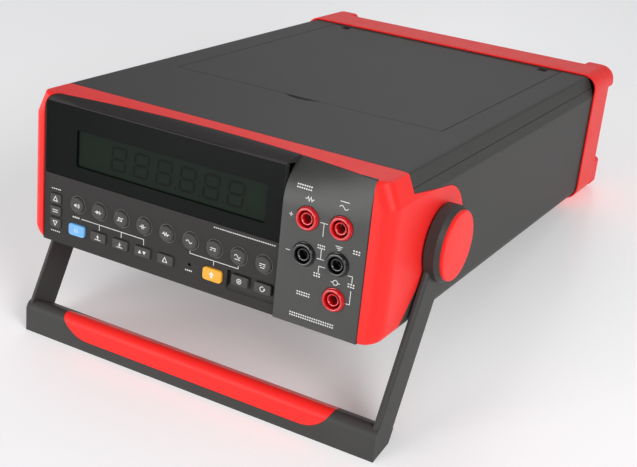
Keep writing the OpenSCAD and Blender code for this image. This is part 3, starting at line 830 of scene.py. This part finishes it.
def terminalPanel():
    high = case["height"]
    left, right, wide, tall = (terminal[k] for k in ("left", "right", "cornerWide", "cornerTall"))
    outline = [(left, 0.3), (right, 0.3), (right, high - 0.05)]
    outline += [(left + wide * (1 - math.cos(t)), high - 0.05 - tall * (1 - math.sin(t)))
                for t in (math.radians(90 - 7.5 * i) for i in range(12))]
    holes = [disc(*socketPlace(i, j), terminal["hole"], 48) for i, j, _ in sockets.values()]
    panel = plate("terminalPanel", "front", terminal["face"], case["panelBack"], 0.4, outline, *holes)
    heights = [terminal["leanFrom"] + 1.5 * i for i in range(17)]
    panel = swept(panel, terminalLean, heights, [60, 70, 80, 90], 4)
    keep(panel, "case", "terminal_grey", "terminal_panel")


def testSocket(name, i, j, slot):
    x, z = socketPlace(i, j)
    profile = [(6.25, 4), (6.25, -0.7), (6.0, -0.8), (5.95, -1.5), (5.85, -1.95), (5.6, -2.3), (5.2, -2.4),
               (4.75, -2.35), (4.5, -2.15), (4.4, -1.7), (4.35, 15), (3.5, 15), (3.45, -0.9), (3.35, -1.25),
               (3.1, -1.4), (2.7, -1.35), (2.5, -1.1), (2.5, 20)]
    body = lathe("shroud", (0, 1, 0), (x, 0, z), profile, 56)
    floorRing = lathe("shroudBack", (0, 1, 0), (x, 0, z), [(5.9, 4), (8, 4), (8, 6.5), (5.2, 6.5), (5.2, 22),
                                                            (0, 22)], 40)
    keep(joined(camel(name), body, floorRing), "case", slot, name)


def socketSleeves():
    profile = [(2.48, 4.2), (2.4, 3.8), (2.15, 3.8), (2.03, 4.1), (2.03, 20.4), (0, 20.4)]
    parts = []
    for i, j, _ in sockets.values():
        x, z = socketPlace(i, j)
        parts.append(lathe("sleeve", (0, 1, 0), (x, 0, z), profile, 40))
    keep(joined("socketSleeves", *parts), "case", "sleeve_metal", "socket_sleeves")


# ---- keys ----

def roundKey(index):
    x = keys["firstColumn"] + index * keys["pitch"]
    face = case["panelFace"] - 1.8
    radius = keys["radius"]
    profile = [(0, 5.2), (radius + 1.2, 5.2), (radius + 1.2, 4.3), (radius, 4.25), (radius, face + 1.0),
               (radius - 0.12, face + 0.6), (radius - 0.4, face + 0.25), (radius - 0.8, face + 0.08),
               (radius - 1.2, face), (radius - 1.6, face + 0.14), (2.0, face + 0.22), (0, face + 0.25)]
    name = "key_function_%d" % (index + 1)
    made = lathe("functionKey%d" % (index + 1), (0, 1, 0), (x, 0, keys["row"]), profile, 48)
    keep(made, name, "key_grey", name)


def squareKey(name, values):
    face = values[5]
    cap = plate(camel(name), "front", face, case["panelBack"] + 1.2, 0.55, keyOutline(values))
    keep(cap, name, values[6], name)


mark = {"line": 0.42}


def wave(x, z, width, height, turns=1, steps=16):
    return [(x - width / 2 + width * i / steps, z + height * math.sin(2 * math.pi * turns * i / steps))
            for i in range(steps + 1)]


def ring(x, z, radius):
    return arc(x, z, radius, 0, 360, 20)


def dashes(x, z, width, height=0.6):
    # a row of short dashes where a caption would be
    count = max(2, round(width / 1.3))
    step = width / count
    left, tall = x - width / 2, height / 2
    return [roundRect(left + step * i, z - tall, left + step * (i + 0.62), z + tall, 0.12, 2)
            for i in range(count)]


def triangle(u, v, size, up=1):
    return [(u - size, v - up * size * 0.8), (u + size, v - up * size * 0.8), (u, v + up * size)]


def outlined(shape):
    return shape + shape[:1]


# plain electrical signs about the middle of each key, as lines and fills: sound, diode, pulse, capacitor,
# resistor, alternating and steady
steadySign = [[(-1.8, 0.6), (1.8, 0.6)], [(-1.8, -0.5), (-0.5, -0.5)], [(0.5, -0.5), (1.8, -0.5)]]
functionSigns = [
    ([arc(0.2, 0, 1.1, -45, 45, 5), arc(0.2, 0, 1.8, -45, 45, 5)],
     [[(-1.5, -0.5), (-0.7, -0.5), (0.1, -1.2), (0.1, 1.2), (-0.7, 0.5), (-1.5, 0.5)]]),
    ([[(-2.2, 0), (-1, 0)], [(1, 0), (2.2, 0)], [(1, -1.1), (1, 1.1)]], [[(-1, -1.1), (0.8, 0), (-1, 1.1)]]),
    ([[(-2.1, -0.9), (-1.1, -0.9), (-1.1, 0.9), (0, 0.9), (0, -0.9), (1.1, -0.9), (1.1, 0.9),
       (2.1, 0.9)]], []),
    ([[(-2, 0), (-0.4, 0)], [(0.4, 0), (2, 0)], [(-0.4, -1.3), (-0.4, 1.3)], [(0.4, -1.3), (0.4, 1.3)]], []),
    ([[(-2.3, 0), (-1.5, 0), (-1.1, 0.9), (-0.4, -0.9), (0.4, 0.9), (1.1, -0.9), (1.5, 0), (2.3, 0)]], []),
    ([wave(0, 0, 3.8, 0.8)], []),
    (steadySign, []),
    ([wave(0, 0.5, 3.8, 0.8), [(-1.6, -1.3), (1.6, -1.3)]], []),
    (steadySign + [[(-1.2, -1.5), (1.2, -1.5)]], [])]
squareSigns = {
    "key_range_up": ([outlined(triangle(0, 0, 1.5))], []),
    "key_auto_range": ([[(-2, 0.6), (2, 0.6)], [(-2, -0.6), (2, -0.6)]], []),
    "key_range_down": ([outlined(triangle(0, 0, 1.5, -1))], []),
    "key_hold": ([[(-0.8, -1.3), (-0.8, 1.3)], [(0.8, -1.3), (0.8, 1.3)]], []),
    "key_recall": ([[(0, -1.2), (0, 0.6)], [(-2, -1.3), (2, -1.3)]], [triangle(0, 0.7, 0.9)]),
    "key_store": ([[(0, -0.2), (0, 1.4)], [(-2, -1.4), (2, -1.4)]], [triangle(0, -0.3, 0.9, -1)]),
    "key_max_min": ([], [triangle(-1.5, 0, 1.1), triangle(1.5, 0, 1.1, -1)]),
    "key_relative": ([outlined(triangle(0, 0, 1.5))], []),
    "key_shift": ([], [[(-0.7, -1.6), (0.7, -1.6), (0.7, 0.2), (1.8, 0.2), (0, 1.9), (-1.8, 0.2),
                        (-0.7, 0.2)]]),
    "key_set": ([ring(0, 0, 1.3)], [disc(0, 0, 0.5, 12)]),
    "key_reset": ([arc(0, 0, 1.3, 60, 360, 18)], [triangle(1.3, 0.2, 0.7)])}


def keyMark(name, key, slot, x, z, depth, signs):
    lines, fills = ([[(x + u, z + v) for u, v in outline] for outline in group] for group in signs)
    keep(strokes(name, "front", depth + 0.02, mark["line"], lines, fills), key, slot, ink=whiteInk)


def keyMarks():
    for index, signs in enumerate(functionSigns):
        x = keys["firstColumn"] + index * keys["pitch"]
        number = str(index + 1)
        keyMark("functionMark" + number, "key_function_" + number, "key_grey", x, keys["row"],
                case["panelFace"] - 1.8 + 0.22, signs)
    for name, values in squareKeys.items():
        keyMark(camel(name, "Mark"), name, values[6], values[0], values[1], values[5], squareSigns[name])


def panelMarks():
    face = case["panelFace"]
    row = keys["row"]
    column = [keys["firstColumn"] + i * keys["pitch"] for i in range(9)]
    lines = [[(column[0] + 2.5, 18.8), (column[3], 18.8), (column[3], 15.4)],
             [(column[1], 18.8), (column[1], 15.4)], [(column[2], 18.8), (column[2], 15.4)],
             [(column[5], row - 5.6), (column[5], 19.6), (column[7], 19.6), (column[7], row - 5.6)],
             [(column[6], 19.6), (column[6], 17)]]
    fills = dashes(column[0] - 1, 18.8, 5.2, 0.9)
    for x, z, width, height in ((keys["stripX"], 32, 7, 0.6), (keys["stripX"], 6.8, 7, 0.6),
                                (column[5], 9.6, 4.8, 0.8), (30, 38.3, 38, 0.6)):
        fills += dashes(x, z, width, height)
    keep(strokes("panelMarks", "front", face + 0.02, 0.36, lines, fills), "case", "panel_grey", ink=whiteInk)
    # painted highlight: a lighter grey ring laid on the panel round each round key stands in for light caught on
    # the key's chamfer at the hole's rim
    rimHighlights = [ring(x, row, keys["radius"] + 0.42) for x in column]
    keep(strokes("keyRims", "front", face + 0.015, 0.16, rimHighlights), "case", "panel_grey", ink=greyInk)


def terminalMarks():
    face = terminal["face"]
    (a, b), (low, middle, top) = terminal["socketX"], terminal["socketZ"]
    lines = [[(a + 7.4, top), (a + 9.5, top), (a + 9.5, top - 7)], [(b - 7.4, top), (a + 9.5, top)],
             [(a + 7.4, middle), (b - 7.4, middle)], [(a + 9.5, middle), (a + 9.5, middle + 5.4)],
             [(b - 6.6, middle - 3.8), (a + 9, middle - 3.8), (a + 9, middle - 7.4)],
             [(b + 6.4, middle - 4), (b + 9, middle - 4), (b + 9, middle - 7.5)],
             [(b + 6.8, low), (b + 9, low), (b + 9, low + 7.4)]]
    lines += [[(a - 10.5, top), (a - 8.1, top)], [(a - 9.3, top - 1.2), (a - 9.3, top + 1.2)],
              [(a - 10.5, middle), (a - 8.1, middle)], wave(b, top + 10.6, 5.0, 0.9),
              [(b - 2.5, top + 13.4), (b + 2.5, top + 13.4)],
              [(a - 2.5, top + 10), (a - 1.6, top + 10), (a - 1.1, top + 11), (a - 0.3, top + 9),
               (a + 0.5, top + 11), (a + 1.3, top + 9), (a + 1.8, top + 10), (a + 2.6, top + 10)]]
    lines += [[(b - width, middle + z), (b + width, middle + z)]
              for width, z in ((2, 9.4), (1.3, 8.5), (0.6, 7.6))]
    lines += [ring(b, low + 9.2, 1.3), [(b - 2.6, low + 9.2), (b - 1.3, low + 9.2)],
              [(b + 1.3, low + 9.2), (b + 2.6, low + 9.2)]]
    fills = []
    captions = [(a + 9.5, middle + 6.6, 4.6), (a + 8.6, middle - 8.6, 4.2), (b + 9, middle - 8.8, 4.2),
                (a - 4, top + 15, 9), (b + 10, middle + 9, 4.4), (a + 2, low - 2, 8), (a + 8, 6, 26)]
    for x, z, width in captions:
        fills += dashes(x, z + 0.6, width, 0.7) + dashes(x, z - 0.8, width, 0.7)
    made = strokes("terminalMarks", "front", face + 0.02, 0.36, lines, fills)
    made = swept(made, terminalLean, [terminal["leanFrom"] + 2 * i for i in range(9)], [60, 70, 80, 90])
    keep(made, "case", "terminal_grey", ink=whiteInk)


# ---- rear ----

rear = {"grow": 1.5, "edge": 0.9, "panel": 322, "lug": 11, "inlet": (-92, 28), "rocker": (-92, 62)}


def rearFrame():
    wide, tall, corner, grow = case["halfWidth"], case["height"], case["edgeRadius"], rear["grow"]
    half, high = wide + grow, tall + grow
    outline = roundRect(-half, -grow, half, high, corner + grow, 10)
    body = prism("rearFrame", "front", case["frameFront"], case["rear"], outline)
    sleeve = prism("frameSleeve", "front", case["frameFront"] - 1, rear["panel"] + 3,
                   roundRect(-wide - 0.1, -0.1, wide + 0.1, tall + 0.1, corner, 10))
    hole = prism("frameHole", "front", rear["panel"] - 1, case["rear"] + 2,
                 roundRect(-wide + 6, 6, wide - 6, tall - 6, 3, 4))
    body = cut(body, sleeve, hole)
    lugs = []
    for low, top, corners in ((74.5, high, (3, 2, 10, 3)), (2.5, 22, (3, 3, 3, 3))):
        lug = plate("cornerLug", "front", case["rear"] - 2, case["rear"] + rear["lug"], 2.2,
                    roundRect(92, low, half, top, corners, 6))
        lugs.append(mirrored(lug))
    softened(body, rear["edge"], 3)
    body = settled(body)
    keep(joined("rearFrame", body, *lugs), "case", "red_shell", "rear_frame")


def rearPanel():
    half, high = case["halfWidth"], case["height"]
    x, z = rear["inlet"]
    rx, rz = rear["rocker"]
    holes = [roundRect(x - 14, z - 16, x + 14, z + 16, 1, 3),
             roundRect(rx - 7, rz - 10, rx + 7, rz + 10, 0.6, 3),
             roundRect(30, 24, 42, 35, 0.4, 3), roundRect(54, 24, 85, 36.5, 0.4, 3)]
    holes += [roundRect(-52 + i * 8, 48, -48.6 + i * 8, 72, 1.6, 4) for i in range(14)]
    front = rear["panel"]
    panel = plate("rearPanel", "front", front, front + 3, 0.3,
                  roundRect(-half + 0.3, 0.3, half - 0.3, high - 0.3, 8, 6), *holes)
    seat = [block("rockerCheek", "side", rx + side - 1, rx + side + 1, front - 5, rz - 4, front, rz + 4)
            for side in (-8, 8)]
    keep(joined("rearPanel", panel, *seat), "case", "tray_plastic", "rear_panel")
    profile = [(0, -1.4), (1.2, -1.4), (1.3, -1.7), (2.6, -1.3), (3.0, -0.6), (3.0, 0.4)]
    screws = [lathe("panelScrew", (0, -1, 0), (sx, front + 3, sz), profile, 28)
              for sx in (-66, 96) for sz in (16, 70)]
    keep(joined("rearScrews", *screws), "case", "steel")


def inletPins():
    x, z = rear["inlet"]
    pins = [prism("inletPin", "front", rear["panel"] - 16, rear["panel"] - 2,
                  roundRect(x + dx - 1, z + dz - 2, x + dx + 1, z + dz + 2, 0.4, 3))
            for dx, dz in ((-7, -1.5), (0, 1.5), (7, -1.5))]
    keep(joined("inletPins", *pins), "case", "steel")


# ---- handle ----

handle = {"armWidth": 20.6, "hubRadius": 21, "armIn": 113.2, "armOut": 116.4, "hubOut": 121.6,
          "armEnd": 100, "capRadius": 19.2, "edge": 1.1, "barDrop": 62.9, "lip": 5, "gripHalf": 91,
          "gripDeep": 15, "gripThick": 2, "gripRise": 6.7, "gripRound": 20}
handle["angle"] = math.radians(case["armAngle"])


def floorCut():
    # everything below the surface that the instrument stands on, in the handle's own coordinates
    tool = block("floorCut", "top", -120, 0, -200, -300, 200, 300)
    tool.data.transform(handlePlace.inverted())
    return tool


def barLip(inset=0.0):
    # the bar's section from the back of its top round to its front; the lip between them is an arc
    half, end, bend = handle["armWidth"] / 2, handle["armEnd"], handle["lip"]
    centre = (-half + 0.4 + bend * math.cos(handle["angle"]), -end - bend)
    return [(half - inset, -end - inset)] + arc(*centre, bend - inset, 90, 180 + case["armAngle"], 10)


def barOutline():
    line, low = barLip(), -handle["armEnd"] - 28
    u, v = line[-1]
    return line + [(u + (v - low) * math.tan(handle["angle"]), low), (handle["armWidth"] / 2, low)]


def gripBand(grow=0.0):
    # the inlay runs from the back of the bar's top to some way down its front
    angle, thick = handle["angle"], handle["gripThick"]
    back, top = handle["armWidth"] / 2 + 1, -handle["armEnd"]
    outer, inner = barLip(-grow), barLip(thick)[::-1]
    reach = Vector((math.sin(angle), -math.cos(angle))) * handle["gripDeep"]
    foot = [tuple(Vector(outer[-1]) + reach), tuple(Vector(inner[0]) + reach)]
    return [(back, top + grow)] + outer[1:] + foot + inner[:-1] + [(back, top - thick)]


def gripMask(grow):
    # seen from the front, the inlay has round lower ends
    half = handle["gripHalf"] + grow
    low = -handle["barDrop"] + handle["gripRise"] - grow
    mask = prism("gripMask", "front", -20, 40,
                 roundRect(-half, low, half, low + 60, handle["gripRound"] + grow, 12))
    mask.data.transform(Matrix.Rotation(handle["angle"], 4, "X") @ pivotInCase)
    return mask


def swingHandle():
    half, end, radius = handle["armWidth"] / 2, handle["armEnd"], handle["hubRadius"]
    out, near, thick = handle["hubOut"], handle["armIn"], handle["armOut"]
    frameBar = prism("swingHandle", "side", -thick, thick, barOutline())
    arm = [(near, -half)] + arc(thick - 2.6, -half + 2.6, 2.6, -90, 0, 5)
    arm += arc(thick - 1, half - 1, 1, 0, 90, 3) + [(near, half)]
    arms = [prism("arm", "top", -end - 3, 2, [(sign * x, y) for x, y in arm[::sign]]) for sign in (-1, 1)]
    drum = [(0, near), (radius, near), (radius, out - 2.6), (radius - 0.4, out - 2.2),
            (radius - 1.5, out - 0.3), (radius - 1.7, out), (0, out)]
    hubs = [lathe("hub", (sign, 0, 0), (0, 0, 0), drum, 96) for sign in (-1, 1)]
    frameBar = cut(frameBar, *arms, *hubs, way="UNION")
    seats = pair("capSeat", out - 2.2, 130, disc(0, 0, handle["capRadius"] + 0.04, 96))
    hollows = pair("hubHollow", 100, near + 1.4, disc(0, 0, 17, 64))
    inlay = cut(prism("inlayBed", "side", -120, 120, gripBand(0.5)), gripMask(0.12), way="INTERSECT")
    frameBar = cut(frameBar, floorCut(), *seats, *hollows, inlay)
    keep(softened(frameBar, handle["edge"], 3), "handle", "grey_shell", "handle", place=handlePlace)


def handleGrip():
    band = cut(prism("handleGrip", "side", -120, 120, gripBand()), gripMask(0), way="INTERSECT")
    rim = handle["armWidth"] / 2 - 0.1
    band = cut(band, floorCut(), block("behindBar", "side", -130, 130, rim, -140, rim + 9, -90))
    keep(softened(band, 0.4, 3), "handle", "red_shell", "handle_grip", place=handlePlace)


def hubCaps():
    radius, out = handle["capRadius"], handle["hubOut"]
    profile = [(0, out - 2.1), (radius - 0.1, out - 2.1), (radius, out - 1.6), (radius, out + 0.9),
               (radius - 0.15, out + 1.4), (radius - 0.5, out + 1.75), (radius - 1.1, out + 1.9),
               (radius * 0.6, out + 1.95), (radius * 0.3, out + 2.0), (0, out + 2.0)]
    caps = mirrored(lathe("hubCaps", (1, 0, 0), (0, 0, 0), profile, 96))
    keep(caps, "handle", "red_shell", "hub_caps", place=handlePlace)


# ---- small CAD pieces with rounded edges ----

rearNodes = {"mains_inlet": ("tray_plastic", 0.4, "case"), "interface_ports": ("steel", 0.25, "case"),
             "fuse_drawer": ("tray_plastic", 0.4, "fuse_drawer"),
             "power_rocker": ("rocker_red", 0.5, "rocker")}
smallNodes = {"feet": ("foot_rubber", 0.8, "case"), "case_screws": ("steel", 0.3, "case"),
              "pivot_pins": ("steel", 0.3, "case"), "detent_plates": ("steel", 0.15, "case"),
              "lid_hinge_pin": ("steel", 0.2, "case"), "storage_tray": ("tray_plastic", 0.5, "case"),
              "transformer": ("steel", 0.5, "case"), "board_posts": ("steel", 0.15, "case"),
              "keypad_mat": ("mat_rubber", 0.3, "case")}


def carryNodes(nodes):
    for node, (slot, width, body) in nodes.items():
        keep(fromNode(camel(node), node, width), body, slot, node, place=Matrix())


def finishNodes():
    # every CAD node, shown or not, gets the finish of its slot
    slots = {part["node"]: part["material_slot"] for part in frame["record"]["subparts"]}
    for node, item in frame["nodes"].items():
        if not item.material_slots:
            item.data.materials.append(finishes[slots[node]])
        for holder in item.material_slots:
            holder.material = finishes[slots[node]]


def pageFloor():
    # plain pale surface, faintly glossy
    finish = Finish("paleFloor", Specular_IOR_Level=0.2, Emission_Color=(1, 1, 1, 1), Emission_Strength=0.16)
    cloud = finish.noise(3, 2)
    finish.drive(Base_Color=finish.mix(cloud, colour(246, 246, 246), colour(250, 250, 250)),
                 Roughness=cloud * 0.06 + 0.24)
    shape = bmesh.new()
    bmesh.ops.create_grid(shape, x_segments=8, y_segments=8, size=4)
    mesh = bpy.data.meshes.new("floor")
    shape.to_mesh(mesh)
    shape.free()
    ground = newObject("floor", mesh)
    mesh.materials.append(finish.material)
    world = bpy.data.worlds.new("studio")
    bpy.context.scene.world = world
    world.use_nodes = True
    world.node_tree.nodes["Background"].inputs["Color"].default_value = (0.95, 0.96, 1, 1)
    world.node_tree.nodes["Background"].inputs["Strength"].default_value = 0.3


pageFloor()
finishNodes()
topCover()
bottomCover()
storageLid()
print("covers made")
frontBezel()
frontPanel()
displayWindow()
crystalDisplay()
print("front made")
terminalPanel()
for socketName, (i, j, slotName) in sockets.items():
    testSocket(socketName, i, j, slotName)
socketSleeves()
print("sockets made")
for keyIndex in range(9):
    roundKey(keyIndex)
for keyName, keyValues in squareKeys.items():
    squareKey(keyName, keyValues)
keyMarks()
panelMarks()
terminalMarks()
print("keys and marks made")
rearFrame()
rearPanel()
carryNodes(rearNodes)
inletPins()
print("rear made")
swingHandle()
handleGrip()
hubCaps()
carryNodes(smallNodes)
print("handle and small pieces made")
